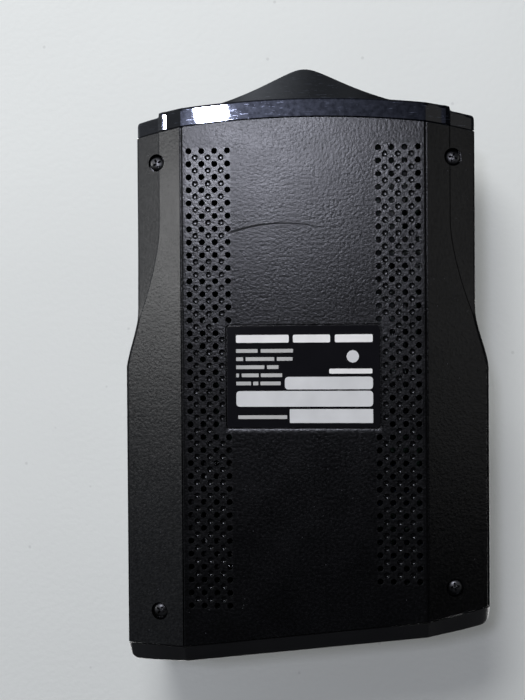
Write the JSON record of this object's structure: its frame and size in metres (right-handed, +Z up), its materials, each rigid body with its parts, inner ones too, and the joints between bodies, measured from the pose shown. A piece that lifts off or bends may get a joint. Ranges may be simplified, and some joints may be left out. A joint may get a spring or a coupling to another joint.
{
  "type": "radar detector",
  "caption": "Windscreen radar detector with a faceted black case, perforated underside strips, a peaked gloss nose window, an angled display end and push buttons on top.",
  "frame": {"origin": "centre of the footprint, on the plane of the flat underside panel", "axes": "+Y towards the nose that faces the windscreen, -Y towards the display, +Z up through the top cover, +X to the right when the display is read"},
  "size_m": [0.0706, 0.116, 0.031],
  "materials": {
    "lower_case": "satin soft-touch",
    "upper_case": "fine matte texture",
    "nose_window": "polished",
    "display_bezel": "matte charcoal",
    "smoked_window": "polished smoke",
    "sensor_window": "polished",
    "label": "printed film, plain",
    "screw_steel": "blackened steel, worn",
    "circuit_board": "solder mask",
    "cast_zinc": "as cast",
    "tinned_steel": "bright tin",
    "patch_ceramic": "matte",
    "patch_silver": "bright",
    "lens_acrylic": "polished",
    "black_plastic": "moulded",
    "display_glass": "polished",
    "flat_cable": "film",
    "foam": "open cell",
    "cone_paper": "pressed",
    "ferrite": "matte",
    "wire_red": "insulation",
    "wire_black": "insulation",
    "capacitor_sleeve": "shrink sleeve",
    "button_rubber": "matte",
    "plunger_nylon": "moulded"
  },
  "bodies": {
    "housing": {"lower_case": "lower_case", "upper_case": "upper_case", "nose_window": "nose_window", "display_bezel": "display_bezel", "display_window": "smoked_window", "sensor_window": "sensor_window", "rating_label": "label", "case_screw_nose_right": "screw_steel", "case_screw_nose_left": "screw_steel", "case_screw_display_right": "screw_steel", "case_screw_display_left": "screw_steel", "board_screw_1": "screw_steel", "board_screw_2": "screw_steel", "main_board": "circuit_board", "microwave_board": "circuit_board", "laser_board": "circuit_board", "display_board": "circuit_board", "horn_antenna": "cast_zinc", "microwave_can": "cast_zinc", "gps_receiver": "tinned_steel", "data_socket": "tinned_steel", "speaker_frame": "tinned_steel", "gps_patch": "patch_ceramic", "gps_patch_electrode": "patch_silver", "laser_lens": "lens_acrylic", "laser_barrel": "black_plastic", "laser_detector": "black_plastic", "processor_chip": "black_plastic", "motion_sensor": "black_plastic", "display_holder": "black_plastic", "bracket_socket": "black_plastic", "power_jack": "black_plastic", "display_glass": "display_glass", "display_ribbon": "flat_cable", "speaker_gasket": "foam", "speaker_magnet": "ferrite", "power_inductor": "ferrite", "speaker_wire_red": "wire_red", "speaker_wire_black": "wire_black", "backup_capacitor": "capacitor_sleeve", "electrolytic_1": "capacitor_sleeve", "electrolytic_2": "capacitor_sleeve", "switch_power": "black_plastic", "switch_volume_up": "black_plastic", "switch_volume_down": "black_plastic", "switch_mode": "black_plastic"},
    "key_power": {"button_power": "button_rubber", "plunger_power": "plunger_nylon"},
    "key_volume_up": {"button_volume_up": "button_rubber", "plunger_volume_up": "plunger_nylon"},
    "key_volume_down": {"button_volume_down": "button_rubber", "plunger_volume_down": "plunger_nylon"},
    "key_mode": {"button_mode": "button_rubber", "plunger_mode": "plunger_nylon"},
    "cone": {"speaker_cone": "cone_paper"}
  },
  "joints": [
    {"name": "press_power", "type": "slide", "parent": "housing", "child": "key_power", "axis": [0, 0, -1], "range_m": [0, 0.0004], "stiffness_N_per_m": 2500, "springref_m": -0.0002},
    {"name": "press_volume_up", "type": "slide", "parent": "housing", "child": "key_volume_up", "axis": [0, 0, -1], "range_m": [0, 0.0004], "stiffness_N_per_m": 2500, "springref_m": -0.0002},
    {"name": "press_volume_down", "type": "slide", "parent": "housing", "child": "key_volume_down", "axis": [0, 0, -1], "range_m": [0, 0.0004], "stiffness_N_per_m": 2500, "springref_m": -0.0002},
    {"name": "press_mode", "type": "slide", "parent": "housing", "child": "key_mode", "axis": [0, 0, -1], "range_m": [0, 0.0004], "stiffness_N_per_m": 2500, "springref_m": -0.0002},
    {"name": "cone_stroke", "type": "slide", "parent": "housing", "child": "cone", "axis": [0, 0, 1], "range_m": [-0.0004, 0.0004], "stiffness_N_per_m": 1200}
  ]
}
